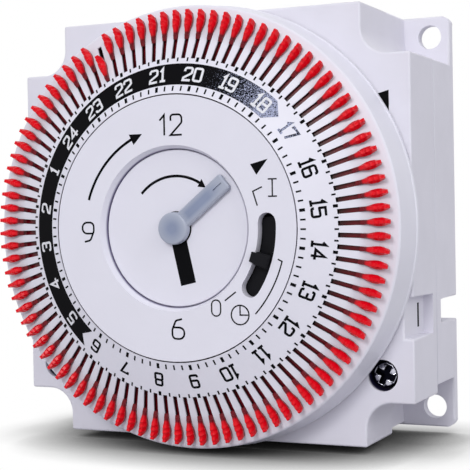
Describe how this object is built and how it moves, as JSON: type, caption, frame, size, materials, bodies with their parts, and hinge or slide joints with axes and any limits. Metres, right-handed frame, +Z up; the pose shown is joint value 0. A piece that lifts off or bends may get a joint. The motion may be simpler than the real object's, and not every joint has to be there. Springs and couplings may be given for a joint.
{
  "type": "timer switch",
  "caption": "Square timer module with four ears, a turning 24-hour dial ringed with sliding red tappets, clock hands, an override lever and blade terminals behind",
  "frame": {"origin": "the dial's axis where it meets the rear mounting plane", "axes": "+Z up, the dial faces -Y, +X to the right as seen from the front; +Y is the way the back faces"},
  "size_m": [0.0682, 0.0361, 0.0682],
  "materials": {
    "white_plastic": "moulded, lightly satin",
    "red_plastic": "moulded, smooth",
    "black_plastic": "moulded",
    "grey_plastic": "moulded",
    "clear_blue_plastic": "tinted and clear",
    "ivory_plastic": "moulded, unpainted",
    "steel": "bright",
    "brass": "stamped or cut",
    "copper": "enamelled wire",
    "ferrite": "sintered",
    "board": "laminate",
    "film": "dipped"
  },
  "bodies": {
    "housing": {"rear_base": "white_plastic", "front_cover": "white_plastic", "centre_face": "white_plastic", "cover_screws": "steel", "movement_plate": "ivory_plastic", "plate_screws": "steel", "wheel_pins": "steel", "stator": "steel", "coil_bobbin": "black_plastic", "coil_winding": "copper", "circuit_board": "board", "crystal": "steel", "reserve_battery": "steel", "control_chip": "black_plastic", "supply_capacitor": "film", "switch_case": "grey_plastic", "switch_lid": "grey_plastic", "trip_pin": "steel", "override_washer": "steel", "common_terminal": "brass", "make_terminal": "brass", "break_terminal": "brass", "supply_terminals": "brass", "trip_spring": "steel"},
    "dial": {"dial_drum": "white_plastic", "dial_ring_gear": "ivory_plastic", "tappets": "red_plastic"},
    "tappet_1": {"tappet_1": "red_plastic"},
    "tappet_2": {"tappet_2": "red_plastic"},
    "tappet_3": {"tappet_3": "red_plastic"},
    "tappet_4": {"tappet_4": "red_plastic"},
    "tappet_5": {"tappet_5": "red_plastic"},
    "tappet_6": {"tappet_6": "red_plastic"},
    "hour": {"hour_disc": "white_plastic", "hour_wheel": "ivory_plastic"},
    "minute": {"minute_hand": "clear_blue_plastic", "minute_arbor": "steel", "cannon_pinion": "brass", "clutch_spring": "steel"},
    "motion": {"motion_wheel": "ivory_plastic"},
    "drive": {"drive_wheel": "ivory_plastic", "drive_arbor": "steel", "drive_pinion": "brass"},
    "clutch": {"clutch_wheel": "brass"},
    "third": {"third_wheel": "ivory_plastic"},
    "second": {"second_wheel": "ivory_plastic"},
    "rotor": {"rotor_arbor": "steel", "rotor_magnet": "ferrite"},
    "trip_lever": {"trip_lever": "grey_plastic"},
    "plunger": {"plunger": "red_plastic"},
    "contact_blade": {"contact_blade": "brass"},
    "override": {"override_lever": "black_plastic"}
  },
  "joints": [
    {"name": "dial_spin", "type": "hinge", "parent": "housing", "child": "dial", "pos_m": [0, -0.03, 0], "axis": [0, 1, 0], "continuous": true},
    {"name": "tappet_1_slide", "type": "slide", "parent": "dial", "child": "tappet_1", "axis": [-0.4281, 0.3527, 0.8321], "range_m": [0, 0.003]},
    {"name": "tappet_2_slide", "type": "slide", "parent": "dial", "child": "tappet_2", "axis": [0.3727, -0.3527, -0.8583], "range_m": [0, 0.003]},
    {"name": "tappet_3_slide", "type": "slide", "parent": "dial", "child": "tappet_3", "axis": [0.3158, -0.3527, -0.8808], "range_m": [0, 0.003]},
    {"name": "tappet_4_slide", "type": "slide", "parent": "dial", "child": "tappet_4", "axis": [0.2575, -0.3527, -0.8996], "range_m": [0, 0.003]},
    {"name": "tappet_5_slide", "type": "slide", "parent": "dial", "child": "tappet_5", "axis": [0.1981, -0.3527, -0.9145], "range_m": [0, 0.003]},
    {"name": "tappet_6_slide", "type": "slide", "parent": "dial", "child": "tappet_6", "axis": [0.1379, -0.3527, -0.9255], "range_m": [0, 0.003]},
    {"name": "hour_spin", "type": "hinge", "parent": "housing", "child": "hour", "pos_m": [0, -0.0337, 0], "axis": [0, 1, 0], "continuous": true},
    {"name": "minute_spin", "type": "hinge", "parent": "housing", "child": "minute", "pos_m": [0, -0.0352, 0], "axis": [0, 1, 0], "continuous": true},
    {"name": "motion_spin", "type": "hinge", "parent": "housing", "child": "motion", "pos_m": [-0.00796, -0.018, -0.00082], "axis": [0, 1, 0], "continuous": true},
    {"name": "drive_spin", "type": "hinge", "parent": "housing", "child": "drive", "pos_m": [-0.01842, -0.018, -0.0067], "axis": [0, 1, 0], "continuous": true},
    {"name": "rotor_spin", "type": "hinge", "parent": "housing", "child": "rotor", "pos_m": [-0.01649, -0.012, 0.01152], "axis": [0, 1, 0], "continuous": true},
    {"name": "second_spin", "type": "hinge", "parent": "housing", "child": "second", "pos_m": [-0.01129, -0.0155, 0.00852], "axis": [0, 1, 0], "continuous": true},
    {"name": "third_spin", "type": "hinge", "parent": "housing", "child": "third", "pos_m": [-0.0042, -0.0145, 0.00727], "axis": [0, 1, 0], "continuous": true},
    {"name": "clutch_spin", "type": "hinge", "parent": "housing", "child": "clutch", "pos_m": [0, -0.0136, 0], "axis": [0, 1, 0], "continuous": true},
    {"name": "trip_swing", "type": "hinge", "parent": "housing", "child": "trip_lever", "pos_m": [0.01694, -0.018, 0.02531], "axis": [0, 1, 0], "range_deg": [0, 8.1], "stiffness_Nm_per_rad": 0.01, "springref_deg": -8.59, "deforming": ["trip_spring"]},
    {"name": "plunger_slide", "type": "slide", "parent": "housing", "child": "plunger", "axis": [-1, 0, 0], "range_m": [0, 0.0018]},
    {"name": "blade_flex", "type": "hinge", "parent": "housing", "child": "contact_blade", "pos_m": [0.0162, -0.0166, 0.0005], "axis": [0, 1, 0], "range_deg": [-7, 0]},
    {"name": "override_turn", "type": "hinge", "parent": "housing", "child": "override", "pos_m": [0, -0.0208, 0], "axis": [0, 1, 0], "range_deg": [-17, 14]}
  ],
  "couplings": [
    {"joint": "hour_spin", "follows": "dial_spin", "ratio": 2},
    {"joint": "minute_spin", "follows": "dial_spin", "ratio": 24},
    {"joint": "motion_spin", "follows": "dial_spin", "ratio": -8},
    {"joint": "drive_spin", "follows": "dial_spin", "ratio": 8},
    {"joint": "second_spin", "follows": "rotor_spin", "ratio": -0.25},
    {"joint": "third_spin", "follows": "rotor_spin", "ratio": 0.05},
    {"joint": "clutch_spin", "follows": "rotor_spin", "ratio": -0.0083333},
    {"joint": "plunger_slide", "follows": "trip_swing", "m_per_rad": 0.0122},
    {"joint": "blade_flex", "follows": "trip_swing", "ratio": -0.855}
  ]
}
